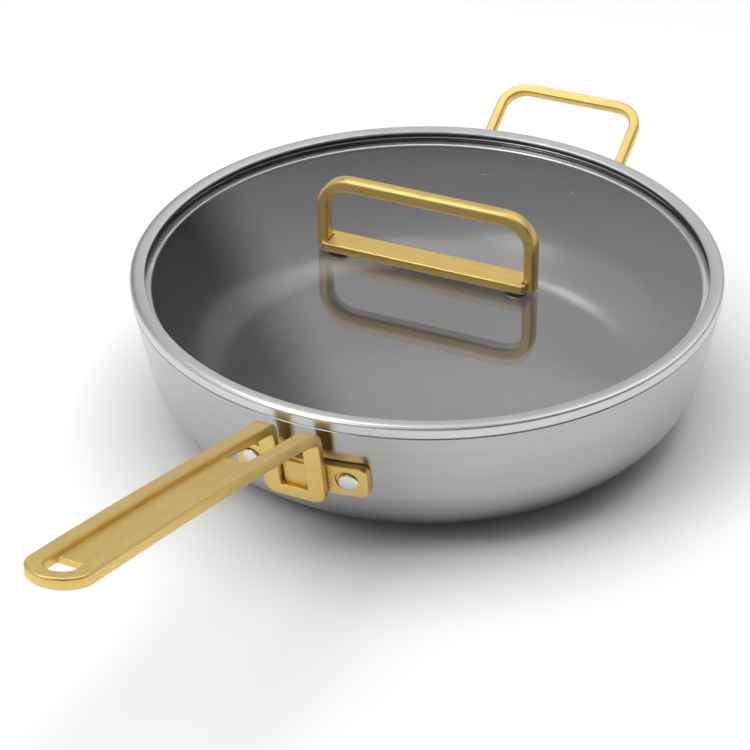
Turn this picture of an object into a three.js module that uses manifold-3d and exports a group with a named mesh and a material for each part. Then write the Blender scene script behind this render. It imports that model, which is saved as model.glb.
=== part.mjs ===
// Frying pan with a lift-off lid: steel pan with a grey lining, gold handles, glass lid in a steel rim.
// Millimetres, Z up, X along the long handle, origin at the centre of the flat base.
import * as THREE from "three";
import { mergeVertices } from "three/addons/utils/BufferGeometryUtils.js";
import Module from "manifold-3d";

const wasm = await Module();
wasm.setup();

// Clearances between neighbouring pieces
const JOINT_GAP = 0.3; // between bonded or riveted pieces
const LID_GAP = 0.3; // between the rim ring of the lid and the rim of the pan
const SEAL_GAP = 0.2; // between the seal, the glass and the rim ring
const STACK_GAP = 0.2; // between the pieces clamped by a lid screw
const RIVET_HOLE_GAP = 0.3; // round a rivet shank
const SCREW_HOLE_GAP = 0.3; // round a screw shank in the plate and the spacer
const GLASS_HOLE_GAP = 1.0; // round a screw shank in the glass

// Pan
const RIM_RADIUS = 160; // outside of the rim
const PAN_HEIGHT = 80; // base to rim
const WALL_TAPER = THREE.MathUtils.degToRad(10.4); // lean of the wall from upright
const BASE_CORNER = 50; // outside corner between base and wall
const SHELL_WALL = 1.7;
const SHELL_FLOOR = 5.2;
const RIM_EDGE = 0.5; // softened outer edge of the rim
const LINING_THICKNESS = 0.8;
const INSIDE_CORNER = 42; // inside corner between floor and wall

// Rivets, shared by both handles
const RIVET_SHANK = 2.4; // radius
const RIVET_HEAD = 5.4; // radius
const RIVET_DOME = 2.2; // height of the outside head
const RIVET_SINK = 1.4; // depth of the recess for the outside head
const RIVET_RECESS_GAP = 0.5; // round the outside head
const RIVET_INSIDE_HEAD = 1.6; // height of the inside head
const RIVET_HEIGHT = 51.5; // above the base

// Brackets that follow the wall behind each handle
const BRACKET_THICKNESS = 5;
const BRACKET_BOTTOM = 41.3;
const BRACKET_TOP = 60.5;
const BRACKET_CORNER = 4;
const HANDLE_EAR = 36.5; // half length of the long handle's bracket
const HANDLE_RIVET_SIDE = 26; // rivet to the middle plane
const HELPER_EAR = 50;
const HELPER_RIVET_SIDE = 27;

// Long handle
const HANDLE_LENGTH = 229; // rim to tip, in plan
const HANDLE_TIP_HEIGHT = 148.4; // top of the rails at the tip
const HANDLE_HALF = 15.4; // half width over the rails
const SHIELD_HALF = 16.8; // half width over the legs
const SHIELD_BLEND_START = 12; // rim to where the shield begins to narrow
const SHIELD_BLEND_END = 30; // rim to where it is as narrow as the rails
const RAIL_GAP_HALF = 7.4;
const RAIL_DEPTH = 6.4;
const RAIL_BEND_HEIGHT = 83.2; // where the rail tops meet the backs of the legs
const RAIL_RISE = THREE.MathUtils.degToRad(17.6); // slope of the rails at the pan
const RAIL_STRAIGHT = 16; // straight part before the rails begin to bow
const BEND_OUTSIDE = 10;
const BEND_INSIDE = 4;
const LEG_THICKNESS = 5;
const LEG_BOTTOM = 37;
const LEG_TOE = 2; // softened lower front edge
const SHIELD_CORNER = 7;
const FOOT_BAR_TOP = 43.5;
const GAP_LENGTH = 61.6; // rim to the outer end of the open gap between the rails
const GAP_CORNER = 2;
const SLOT_SETBACK = 24; // tip to the straight side of the hanging slot
const WEB_RECESS = 2.8; // panel below the rail tops

// Helper handle
const HELPER_LENGTH = 67.4; // rim to the outer edge of the loop
const HELPER_HALF = 45.6;
const HELPER_BAR = 6; // width of the bar
const HELPER_DEPTH = 6; // thickness of the bar
const HELPER_CORNER = 17.5;
const HELPER_ROOT_TOP = 53; // top of the level part at the wall
const HELPER_KNEE = 10; // rim to the upward bend
const HELPER_KNEE_RADIUS = 24;
const HELPER_TILT = THREE.MathUtils.degToRad(28.5);

// Lid rim ring
const RING_HEIGHT = 6.2; // above the rim of the pan
const RING_CROWN = 1.6; // rounding of the outer top edge
const LIP_WIDTH = 8; // outside of the ring to the inner edge of the lip
const LIP_THICKNESS = 1.2;
const LIP_FALL = 0.4; // drop of the lip from its crown to its inner edge
const SKIRT_PLAY = 0.3; // between the skirt and the lining
const SKIRT_THICKNESS = 0.8;
const SHELF_WIDTH = 6.6; // under the edge of the glass
const SHELF_THICKNESS = 1.9;

// Lid glass and seal
const GLASS_DROP = 4.2; // glass top below the ring top
const GLASS_THICKNESS = 4.4;
const GLASS_EDGE = 0.4;
const SEAL_WEB = 0.7; // seal outside the edge of the glass
const SEAL_FOOT = 0.7; // seal under the glass
const SEAL_UPPER_WIDTH = 2.6; // over the edge of the glass
const SEAL_LOWER_WIDTH = 2; // under the edge of the glass

// Lid handle
const ARCH_HALF = 63.6;
const ARCH_RISE = 41; // top of the arch above the rim ring
const ARCH_BAR = 7.2; // height of the top bar
const ARCH_LEG = 6.4; // width of a leg
const ARCH_DEPTH = 8;
const ARCH_CORNER = 19;
const ARCH_EDGE = 1.2;
const PLATE_SHORT = 3.6; // end of the plate inside the outer face of a leg
const PLATE_DEPTH = 15.6;
const PLATE_THICKNESS = 5;
const PLATE_CORNER = 3;
const PLATE_EDGE = 0.7;
const SPACER_RADIUS = 6.75;
const SPACER_THICKNESS = 1;
const SCREW_INSET = 4.7; // screw to the inner face of a leg
const SCREW_SHANK = 2; // radius
const SCREW_HEAD = 4.2; // radius
const SCREW_HEAD_HEIGHT = 2.6;
const SCREW_SHORT = 0.6; // shank end below the top of the plate
const WASHER_RADIUS = 6.5;
const WASHER_THICKNESS = 1.2;

// Mesh fineness
const ROUND_SEGMENTS = 56;
const SMALL_SEGMENTS = 16;
const PROFILE_STEPS = 3; // per curve of a revolved profile
const OUTLINE_STEPS = 4; // per curve of a flat outline
const RAIL_STEPS = 6; // along the bow of the rails
const REACH = 600; // longer than the pan, for cutting bodies

// Surface finishes
const STEEL = new THREE.MeshStandardMaterial({ color: 0xbfc0c2, roughness: 0.32, metalness: 1 });
const GOLD = new THREE.MeshStandardMaterial({ color: 0xc8a868, roughness: 0.34, metalness: 1 });
const LINING = new THREE.MeshStandardMaterial({ color: 0x85878a, roughness: 0.5, metalness: 0.1 });
const GLASS = new THREE.MeshStandardMaterial({
  color: 0xd8e0de,
  roughness: 0.03,
  metalness: 0,
  transparent: true,
  opacity: 0.3,
});
const RUBBER = new THREE.MeshStandardMaterial({ color: 0x17181a, roughness: 0.7, metalness: 0 });

const SIN = Math.sin(WALL_TAPER);
const COS = Math.cos(WALL_TAPER);

// Turns a closed geometry into a solid that faces outwards
function solid(geometry) {
  geometry.deleteAttribute("normal");
  geometry.deleteAttribute("uv");
  const merged = mergeVertices(geometry, 1e-4);
  const spots = merged.attributes.position;
  const corners = [];
  const a = new THREE.Vector3();
  const b = new THREE.Vector3();
  const c = new THREE.Vector3();
  let volume = 0;
  for (let i = 0; i < merged.index.count; i += 3) {
    const face = [0, 1, 2].map((k) => merged.index.getX(i + k));
    if (new Set(face).size < 3) {
      continue;
    }
    a.fromBufferAttribute(spots, face[0]);
    b.fromBufferAttribute(spots, face[1]);
    c.fromBufferAttribute(spots, face[2]);
    volume += a.dot(b.cross(c));
    corners.push(...face);
  }
  if (volume < 0) {
    corners.reverse();
  }
  return new wasm.Manifold(
    new wasm.Mesh({
      numProp: 3,
      vertProperties: new Float32Array(spots.array),
      triVerts: new Uint32Array(corners),
    }),
  );
}

// Turns a solid into a named mesh
function piece(name, body, material) {
  const result = body.getMesh();
  const geometry = new THREE.BufferGeometry();
  geometry.setAttribute("position", new THREE.BufferAttribute(result.vertProperties, 3));
  geometry.setIndex(new THREE.BufferAttribute(result.triVerts, 1));
  geometry.computeVertexNormals();
  const mesh = new THREE.Mesh(geometry, material);
  mesh.name = name;
  return mesh;
}

// Body of revolution about Z from a path of radius and height
function revolve(path, segments = ROUND_SEGMENTS) {
  const geometry = new THREE.LatheGeometry(path.getPoints(PROFILE_STEPS), segments);
  return solid(geometry.rotateX(Math.PI / 2));
}

// Plate of the given outline, centred on its own plane, with softened edges
function plate(shape, depth, edge = 0) {
  const geometry = new THREE.ExtrudeGeometry(shape, {
    depth: depth - 2 * edge,
    bevelEnabled: edge > 0,
    bevelThickness: edge,
    bevelSize: edge,
    bevelOffset: -edge,
    bevelSegments: 2,
    curveSegments: OUTLINE_STEPS,
  });
  return geometry.translate(0, 0, edge - depth / 2);
}

// Outline drawn in plan, thickness along Z
function planBody(shape, bottom, top) {
  return solid(plate(shape, top - bottom).translate(0, 0, (bottom + top) / 2));
}

// Outline drawn from the side as X and Z, thickness along Y
function sideBody(shape, width) {
  return solid(plate(shape, width).rotateX(Math.PI / 2));
}

// Outline drawn from the end as Y and Z, thickness along X
function endBody(shape, width, edge = 0) {
  return solid(plate(shape, width, edge).rotateX(Math.PI / 2).rotateZ(Math.PI / 2));
}

// Closed outline through corners of the form [x, y, radius], each rounded by its radius
function outline(corners) {
  const shape = new THREE.Shape();
  const count = corners.length;
  for (let i = 0; i < count; i += 1) {
    const [x, y, radius] = corners[i];
    const here = new THREE.Vector2(x, y);
    const [lastX, lastY] = corners[(i + count - 1) % count];
    const [nextX, nextY] = corners[(i + 1) % count];
    const before = new THREE.Vector2(lastX, lastY).sub(here).normalize();
    const after = new THREE.Vector2(nextX, nextY).sub(here).normalize();
    const half = Math.acos(THREE.MathUtils.clamp(before.dot(after), -1, 1)) / 2;
    const run = radius > 0 ? radius / Math.tan(half) : 0;
    const start = here.clone().addScaledVector(before, run);
    if (i === 0) {
      shape.moveTo(start.x, start.y);
    } else {
      shape.lineTo(start.x, start.y);
    }
    if (radius > 0) {
      const middle = before.clone().add(after).normalize();
      const centre = here.clone().addScaledVector(middle, radius / Math.sin(half));
      const end = here.clone().addScaledVector(after, run);
      const from = Math.atan2(start.y - centre.y, start.x - centre.x);
      const to = Math.atan2(end.y - centre.y, end.x - centre.x);
      shape.absarc(centre.x, centre.y, radius, from, to, before.cross(after) > 0);
    }
  }
  shape.closePath();
  return shape;
}

// Rectangle between the given sides with rounded corners
function rectangle(left, bottom, right, top, radius) {
  return outline([
    [left, bottom, radius],
    [right, bottom, radius],
    [right, top, radius],
    [left, top, radius],
  ]);
}

// Straight round rod along Z
function rod(radius, bottom, top, segments = SMALL_SEGMENTS) {
  const geometry = new THREE.CylinderGeometry(radius, radius, top - bottom, segments);
  return solid(geometry.rotateX(Math.PI / 2).translate(0, 0, (bottom + top) / 2));
}

// Outside radius of the wall at a height, moved outwards square to the wall
function wallRadius(height, outwards = 0) {
  return RIM_RADIUS - Math.tan(WALL_TAPER) * (PAN_HEIGHT - height) + outwards / COS;
}

// Pan shell and lining
const wallTotal = SHELL_WALL + JOINT_GAP + LINING_THICKNESS;
const floorTop = SHELL_FLOOR + JOINT_GAP + LINING_THICKNESS;
const baseRadius = wallRadius(BASE_CORNER * (1 - SIN)) - BASE_CORNER * COS;
const insideCentre = floorTop + INSIDE_CORNER;
const floorRadius = wallRadius(insideCentre - INSIDE_CORNER * SIN, -wallTotal) - INSIDE_CORNER * COS;

// Adds the inside of the pan, behind the lining's face by the given depth, from the floor up to the rim
function insideUp(path, behind) {
  const radius = INSIDE_CORNER + behind;
  path.lineTo(floorRadius, insideCentre - radius);
  path.absarc(floorRadius, insideCentre, radius, -Math.PI / 2, -WALL_TAPER, false);
  path.lineTo(wallRadius(PAN_HEIGHT, behind - wallTotal), PAN_HEIGHT);
}

// Adds the same line from the rim down to the floor
function insideDown(path, behind) {
  const radius = INSIDE_CORNER + behind;
  path.lineTo(wallRadius(PAN_HEIGHT, behind - wallTotal), PAN_HEIGHT);
  path.absarc(floorRadius, insideCentre, radius, -WALL_TAPER, -Math.PI / 2, true);
  path.lineTo(0, insideCentre - radius);
}

const shellPath = new THREE.Path();
shellPath.moveTo(0, 0);
shellPath.lineTo(baseRadius, 0);
shellPath.absarc(baseRadius, BASE_CORNER, BASE_CORNER, -Math.PI / 2, -WALL_TAPER, false);
shellPath.lineTo(wallRadius(PAN_HEIGHT - RIM_EDGE), PAN_HEIGHT - RIM_EDGE);
shellPath.lineTo(wallRadius(PAN_HEIGHT) - RIM_EDGE, PAN_HEIGHT);
insideDown(shellPath, LINING_THICKNESS + JOINT_GAP);
const shell = revolve(shellPath);

const liningPath = new THREE.Path();
liningPath.moveTo(0, insideCentre - INSIDE_CORNER - LINING_THICKNESS);
insideUp(liningPath, LINING_THICKNESS);
insideDown(liningPath, 0);
const lining = revolve(liningPath);

// Rivets stand square to the wall, at an angle round the pan set by their distance from the middle plane
function rivetSeat(side, turn) {
  const radius = wallRadius(RIVET_HEIGHT);
  const seat = new THREE.Matrix4().makeRotationZ(turn + Math.asin(side / radius));
  seat.multiply(new THREE.Matrix4().makeTranslation(radius, 0, RIVET_HEIGHT));
  seat.multiply(new THREE.Matrix4().makeRotationY(Math.PI / 2 + WALL_TAPER));
  return seat;
}

function atSeat(body, seat) {
  return body.transform(seat.elements);
}

// Rivet along Z with zero at the outside of the wall, its outside head in a recess of the bracket
const recessFloor = JOINT_GAP + BRACKET_THICKNESS - RIVET_SINK;

function rivet() {
  const inner = -wallTotal - JOINT_GAP;
  const outer = recessFloor + JOINT_GAP;
  const path = new THREE.Path();
  path.moveTo(0, inner - RIVET_INSIDE_HEAD);
  path.quadraticCurveTo(RIVET_HEAD, inner - RIVET_INSIDE_HEAD, RIVET_HEAD, inner);
  path.lineTo(RIVET_SHANK, inner);
  path.lineTo(RIVET_SHANK, outer);
  path.lineTo(RIVET_HEAD, outer);
  path.quadraticCurveTo(RIVET_HEAD, outer + RIVET_DOME, 0, outer + RIVET_DOME);
  return revolve(path, SMALL_SEGMENTS);
}

const rivetHole = rod(RIVET_SHANK + RIVET_HOLE_GAP, -4 * wallTotal, 4 * BRACKET_THICKNESS);
const rivetRecess = rod(RIVET_HEAD + RIVET_RECESS_GAP, recessFloor, 4 * BRACKET_THICKNESS);
const rivetSeats = {
  handle_rivet_left: rivetSeat(-HANDLE_RIVET_SIDE, 0),
  handle_rivet_right: rivetSeat(HANDLE_RIVET_SIDE, 0),
  helper_rivet_left: rivetSeat(-HELPER_RIVET_SIDE, Math.PI),
  helper_rivet_right: rivetSeat(HELPER_RIVET_SIDE, Math.PI),
};

function riveted(body, hole = rivetHole) {
  return Object.values(rivetSeats).reduce((left, seat) => left.subtract(atSeat(hole, seat)), body);
}

// Band round the wall between two distances square to it
function wallBand(near, far) {
  const path = new THREE.Path();
  path.moveTo(wallRadius(0, near), 0);
  path.lineTo(wallRadius(0, far), 0);
  path.lineTo(wallRadius(2 * PAN_HEIGHT, far), 2 * PAN_HEIGHT);
  path.lineTo(wallRadius(2 * PAN_HEIGHT, near), 2 * PAN_HEIGHT);
  path.lineTo(wallRadius(0, near), 0);
  return revolve(path);
}

// Curved strip with rounded ears that lies on the wall
const bracketRing = wallBand(JOINT_GAP, JOINT_GAP + BRACKET_THICKNESS);

function bracket(ear, side) {
  const shape = rectangle(-ear, BRACKET_BOTTOM, ear, BRACKET_TOP, BRACKET_CORNER);
  const window = endBody(shape, REACH).translate([(side * REACH) / 2, 0, 0]);
  return riveted(riveted(bracketRing.intersect(window)), rivetRecess);
}

// Long handle: one side outline for legs and rails, cut to the plan outline
const legBack = JOINT_GAP + BRACKET_THICKNESS + JOINT_GAP;
const legFront = legBack + LEG_THICKNESS;
const bendX = wallRadius(RAIL_BEND_HEIGHT, legBack);
const tipX = RIM_RADIUS + HANDLE_LENGTH;
const rise = Math.tan(RAIL_RISE);
const bowStart = new THREE.Vector2(bendX + RAIL_STRAIGHT, RAIL_BEND_HEIGHT + RAIL_STRAIGHT * rise);
const bowHalf = (tipX - bowStart.x) / 2;
const bowControl = new THREE.Vector2(bowStart.x + bowHalf, bowStart.y + bowHalf * rise);
const bowEnd = new THREE.Vector2(tipX, HANDLE_TIP_HEIGHT);

// Point on the bowed line of the rail tops, from 0 at the pan to 1 at the tip
function railPoint(share) {
  const back = (1 - share) * (1 - share);
  const middle = 2 * share * (1 - share);
  return bowStart
    .clone()
    .multiplyScalar(back)
    .addScaledVector(bowControl, middle)
    .addScaledVector(bowEnd, share * share);
}

// Rail top line as corners for an outline, lowered by a depth
function railLine(depth) {
  const corners = [];
  for (let i = 0; i <= RAIL_STEPS; i += 1) {
    const point = railPoint(i / RAIL_STEPS);
    corners.push([point.x, point.y - depth, 0]);
  }
  return corners;
}

// Height where the front of the legs meets the underside of the rails
const frontAtZero = wallRadius(0, legFront);
const lean = Math.tan(WALL_TAPER);
const underAtZero = RAIL_BEND_HEIGHT - RAIL_DEPTH - bendX * rise;
const frontBendHeight = (underAtZero + frontAtZero * rise) / (1 - lean * rise);

const handleSide = outline([
  [wallRadius(LEG_BOTTOM, legBack), LEG_BOTTOM, 0],
  [wallRadius(LEG_BOTTOM, legFront), LEG_BOTTOM, LEG_TOE],
  [wallRadius(frontBendHeight, legFront), frontBendHeight, BEND_INSIDE],
  ...railLine(RAIL_DEPTH),
  ...railLine(0).reverse(),
  [bendX, RAIL_BEND_HEIGHT, BEND_OUTSIDE],
]);

const tipCentre = tipX - HANDLE_HALF;
const blendStart = RIM_RADIUS + SHIELD_BLEND_START;
const blendEnd = RIM_RADIUS + SHIELD_BLEND_END;
const blendMiddle = (blendStart + blendEnd) / 2;
const gapEnd = RIM_RADIUS + GAP_LENGTH;
const slotStart = tipX - SLOT_SETBACK;
const handlePlan = new THREE.Shape();
handlePlan.moveTo(0, -SHIELD_HALF);
handlePlan.lineTo(blendStart, -SHIELD_HALF);
handlePlan.bezierCurveTo(
  blendMiddle, -SHIELD_HALF, blendMiddle, -HANDLE_HALF, blendEnd, -HANDLE_HALF,
);
handlePlan.absarc(tipCentre, 0, HANDLE_HALF, -Math.PI / 2, Math.PI / 2, false);
handlePlan.lineTo(blendEnd, HANDLE_HALF);
handlePlan.bezierCurveTo(
  blendMiddle, HANDLE_HALF, blendMiddle, SHIELD_HALF, blendStart, SHIELD_HALF,
);
handlePlan.lineTo(0, SHIELD_HALF);
handlePlan.closePath();

const slotPlan = new THREE.Shape();
slotPlan.moveTo(slotStart, -RAIL_GAP_HALF);
slotPlan.lineTo(tipCentre, -RAIL_GAP_HALF);
slotPlan.absarc(tipCentre, 0, RAIL_GAP_HALF, -Math.PI / 2, Math.PI / 2, false);
slotPlan.lineTo(slotStart, RAIL_GAP_HALF);
slotPlan.closePath();

const shieldEnd = rectangle(-SHIELD_HALF, LEG_BOTTOM, SHIELD_HALF, REACH, SHIELD_CORNER);
const gapPlan = outline([
  [0, -RAIL_GAP_HALF, 0],
  [gapEnd, -RAIL_GAP_HALF, GAP_CORNER],
  [gapEnd, RAIL_GAP_HALF, GAP_CORNER],
  [0, RAIL_GAP_HALF, 0],
]);
const webPlan = rectangle(gapEnd, -RAIL_GAP_HALF, slotStart + JOINT_GAP, RAIL_GAP_HALF, 0);
const overWeb = outline([
  ...railLine(WEB_RECESS),
  [tipX, REACH, 0],
  [bowStart.x, REACH, 0],
]);
const webColumn = planBody(webPlan, -REACH, REACH);
const longHandle = sideBody(handleSide, 4 * SHIELD_HALF)
  .intersect(planBody(handlePlan, -REACH, REACH))
  .intersect(endBody(shieldEnd, 2 * REACH))
  .subtract(planBody(gapPlan, FOOT_BAR_TOP, REACH))
  .subtract(planBody(slotPlan, -REACH, REACH))
  .subtract(webColumn.intersect(sideBody(overWeb, 4 * SHIELD_HALF)));

// Helper handle: a bar that is level at the wall and then rises, bent into a U in the rising plane
const kneeX = RIM_RADIUS + HELPER_KNEE;
const loopReach = (HELPER_LENGTH - HELPER_KNEE) / Math.cos(HELPER_TILT);
const beyond = RIM_RADIUS + HELPER_LENGTH + HELPER_DEPTH;
const beyondTop = HELPER_ROOT_TOP + (beyond - kneeX) * Math.tan(HELPER_TILT);
const underKnee = kneeX + HELPER_DEPTH * Math.tan(HELPER_TILT / 2);
const underBeyond = beyond + HELPER_DEPTH * Math.sin(HELPER_TILT);
const helperSide = outline([
  [0, HELPER_ROOT_TOP - HELPER_DEPTH, 0],
  [underKnee, HELPER_ROOT_TOP - HELPER_DEPTH, HELPER_KNEE_RADIUS + HELPER_DEPTH],
  [underBeyond, beyondTop - HELPER_DEPTH * Math.cos(HELPER_TILT), 0],
  [beyond, beyondTop, 0],
  [kneeX, HELPER_ROOT_TOP, HELPER_KNEE_RADIUS],
  [0, HELPER_ROOT_TOP, 0],
]);

// Column square to the rising plane with the outline of the loop, moved inwards by a margin
function loopColumn(margin) {
  const half = HELPER_HALF - margin;
  const reach = loopReach - margin;
  const shape = outline([
    [-REACH, -half, 0],
    [reach, -half, HELPER_CORNER - margin],
    [reach, half, HELPER_CORNER - margin],
    [-REACH, half, 0],
  ]);
  return solid(plate(shape, REACH).rotateY(-HELPER_TILT).translate(kneeX, 0, HELPER_ROOT_TOP));
}

const helperHandle = sideBody(helperSide, 4 * HELPER_HALF)
  .intersect(loopColumn(0))
  .subtract(loopColumn(HELPER_BAR))
  .subtract(wallBand(-RIM_RADIUS / 2, legBack))
  .subtract(rod(RIM_RADIUS / 2, -REACH, REACH))
  .rotate([0, 0, 180]);

// Lid rim ring
const ringBottom = PAN_HEIGHT + LID_GAP;
const ringTop = ringBottom + RING_HEIGHT;
const glassTop = ringTop - GLASS_DROP;
const glassBottom = glassTop - GLASS_THICKNESS;
const lipTop = ringTop - LIP_FALL;
const lipUnder = lipTop - LIP_THICKNESS;
const lipInner = RIM_RADIUS - LIP_WIDTH;
const sealBottom = glassBottom - SEAL_GAP - SEAL_FOOT;
const shelfTop = sealBottom - SEAL_GAP;
const shelfBottom = shelfTop - SHELF_THICKNESS;
const shelfRound = SHELF_THICKNESS / 2;
const skirtOuter = wallRadius(shelfBottom, -wallTotal) - SKIRT_PLAY;
const channelWall = skirtOuter - SKIRT_THICKNESS;
const shelfTurn = channelWall - SHELF_WIDTH + shelfRound;
const sealOuter = channelWall - SEAL_GAP;
const glassRadius = sealOuter - SEAL_WEB - SEAL_GAP;
const crownRadius = (RIM_RADIUS + skirtOuter) / 2;

const ringPath = new THREE.Path();
ringPath.moveTo(skirtOuter, ringBottom);
ringPath.lineTo(RIM_RADIUS - RIM_EDGE, ringBottom);
ringPath.lineTo(RIM_RADIUS, ringBottom + RIM_EDGE);
ringPath.lineTo(RIM_RADIUS, ringTop - RING_CROWN);
ringPath.quadraticCurveTo(RIM_RADIUS, ringTop, crownRadius, ringTop);
ringPath.lineTo(lipInner + LIP_THICKNESS / 2, lipTop);
ringPath.quadraticCurveTo(lipInner, lipTop, lipInner, lipTop - LIP_THICKNESS / 2);
ringPath.lineTo(lipInner + LIP_THICKNESS / 4, lipUnder);
ringPath.lineTo(channelWall, lipUnder);
ringPath.lineTo(channelWall, shelfTop);
ringPath.lineTo(shelfTurn, shelfTop);
ringPath.absarc(shelfTurn, shelfTop - shelfRound, shelfRound, Math.PI / 2, -Math.PI / 2, false);
ringPath.lineTo(channelWall, shelfBottom);
ringPath.lineTo(skirtOuter, shelfBottom + SKIRT_THICKNESS);
ringPath.lineTo(skirtOuter, ringBottom);
const lidRim = revolve(ringPath);

// Seal round the edge of the glass
const sealUpperInner = sealOuter - SEAL_UPPER_WIDTH;
const sealLowerInner = sealOuter - SEAL_LOWER_WIDTH;
const sealPath = new THREE.Path();
sealPath.moveTo(sealLowerInner, sealBottom);
sealPath.lineTo(sealOuter, sealBottom);
sealPath.lineTo(sealOuter, lipUnder - SEAL_GAP);
sealPath.lineTo(sealUpperInner, lipUnder - SEAL_GAP);
sealPath.lineTo(sealUpperInner, glassTop + SEAL_GAP);
sealPath.lineTo(glassRadius + SEAL_GAP, glassTop + SEAL_GAP);
sealPath.lineTo(glassRadius + SEAL_GAP, glassBottom - SEAL_GAP);
sealPath.lineTo(sealLowerInner, glassBottom - SEAL_GAP);
sealPath.lineTo(sealLowerInner, sealBottom);
const lidSeal = revolve(sealPath);

// Glass disc with a hole for each screw
const archInner = ARCH_HALF - ARCH_LEG;
const screwSide = archInner - SCREW_INSET;
const glassPath = new THREE.Path();
glassPath.moveTo(0, glassBottom);
glassPath.lineTo(glassRadius - GLASS_EDGE, glassBottom);
glassPath.lineTo(glassRadius, glassBottom + GLASS_EDGE);
glassPath.lineTo(glassRadius, glassTop - GLASS_EDGE);
glassPath.lineTo(glassRadius - GLASS_EDGE, glassTop);
glassPath.lineTo(0, glassTop);
const glassHole = rod(SCREW_SHANK + GLASS_HOLE_GAP, -REACH, REACH);
const lidGlass = revolve(glassPath)
  .subtract(glassHole.translate([0, screwSide, 0]))
  .subtract(glassHole.translate([0, -screwSide, 0]));

// Lid handle: arch, foot plate, spacers, washers and screws
const spacerBottom = glassTop + STACK_GAP;
const plateBottom = spacerBottom + SPACER_THICKNESS + STACK_GAP;
const plateTop = plateBottom + PLATE_THICKNESS;
const washerTop = glassBottom - STACK_GAP;
const headTop = washerTop - WASHER_THICKNESS - STACK_GAP;
const archTop = ringTop + ARCH_RISE;
const archUnder = archTop - ARCH_BAR;
const plateHalf = ARCH_HALF - PLATE_SHORT;
const archShape = outline([
  [-ARCH_HALF, plateBottom, 0],
  [-archInner, plateBottom, 0],
  [-archInner, archUnder, ARCH_CORNER - ARCH_LEG],
  [archInner, archUnder, ARCH_CORNER - ARCH_LEG],
  [archInner, plateBottom, 0],
  [ARCH_HALF, plateBottom, 0],
  [ARCH_HALF, archTop, ARCH_CORNER],
  [-ARCH_HALF, archTop, ARCH_CORNER],
]);
const lidHandle = endBody(archShape, ARCH_DEPTH, ARCH_EDGE);

const notchHalf = ARCH_DEPTH / 2 + JOINT_GAP;
const notch = rectangle(-notchHalf, archInner - JOINT_GAP, notchHalf, REACH, 0);
const notchBody = planBody(notch, -REACH, REACH);
const plateShape = rectangle(-PLATE_DEPTH / 2, -plateHalf, PLATE_DEPTH / 2, plateHalf, PLATE_CORNER);
const plateHole = rod(SCREW_SHANK + SCREW_HOLE_GAP, -REACH, REACH);
const lidPlate = solid(plate(plateShape, PLATE_THICKNESS, PLATE_EDGE))
  .translate([0, 0, (plateBottom + plateTop) / 2])
  .subtract(notchBody)
  .subtract(notchBody.rotate([0, 0, 180]))
  .subtract(plateHole.translate([0, screwSide, 0]))
  .subtract(plateHole.translate([0, -screwSide, 0]));

const spacer = rod(SPACER_RADIUS, spacerBottom, spacerBottom + SPACER_THICKNESS).subtract(plateHole);
const washer = rod(WASHER_RADIUS, washerTop - WASHER_THICKNESS, washerTop).subtract(plateHole);

const screwPath = new THREE.Path();
screwPath.moveTo(0, headTop - SCREW_HEAD_HEIGHT);
screwPath.quadraticCurveTo(SCREW_HEAD, headTop - SCREW_HEAD_HEIGHT, SCREW_HEAD, headTop);
screwPath.lineTo(SCREW_SHANK, headTop);
screwPath.lineTo(SCREW_SHANK, plateTop - SCREW_SHORT);
screwPath.lineTo(0, plateTop - SCREW_SHORT);
const screw = revolve(screwPath, SMALL_SEGMENTS);

// Assembly
const pan = new THREE.Group();
pan.name = "pan";
pan.add(piece("pan_body", riveted(shell), STEEL));
pan.add(piece("pan_lining", riveted(lining), LINING));
pan.add(piece("long_handle", longHandle, GOLD));
pan.add(piece("handle_bracket", bracket(HANDLE_EAR, 1), GOLD));
pan.add(piece("helper_handle", helperHandle, GOLD));
pan.add(piece("helper_bracket", bracket(HELPER_EAR, -1), GOLD));
for (const [name, seat] of Object.entries(rivetSeats)) {
  pan.add(piece(name, atSeat(rivet(), seat), STEEL));
}

const lid = new THREE.Group();
lid.name = "lid";
lid.add(piece("lid_rim", lidRim, STEEL));
lid.add(piece("lid_glass", lidGlass, GLASS));
lid.add(piece("lid_seal", lidSeal, RUBBER));
lid.add(piece("lid_handle", lidHandle, GOLD));
lid.add(piece("lid_handle_plate", lidPlate, GOLD));
for (const [end, side] of [["left", -screwSide], ["right", screwSide]]) {
  lid.add(piece(`lid_spacer_${end}`, spacer.translate([0, side, 0]), RUBBER));
  lid.add(piece(`lid_washer_${end}`, washer.translate([0, side, 0]), STEEL));
  lid.add(piece(`lid_screw_${end}`, screw.translate([0, side, 0]), STEEL));
}

const model = new THREE.Group();
model.name = "frying_pan_with_lid";
model.add(pan);
model.add(lid);
export default model;
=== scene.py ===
# Frying pan with a lift-off glass lid: fine pieces, materials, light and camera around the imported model.
import math

import bmesh
import bpy
from mathutils import Matrix, Vector
from mathutils.geometry import delaunay_2d_cdt


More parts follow.
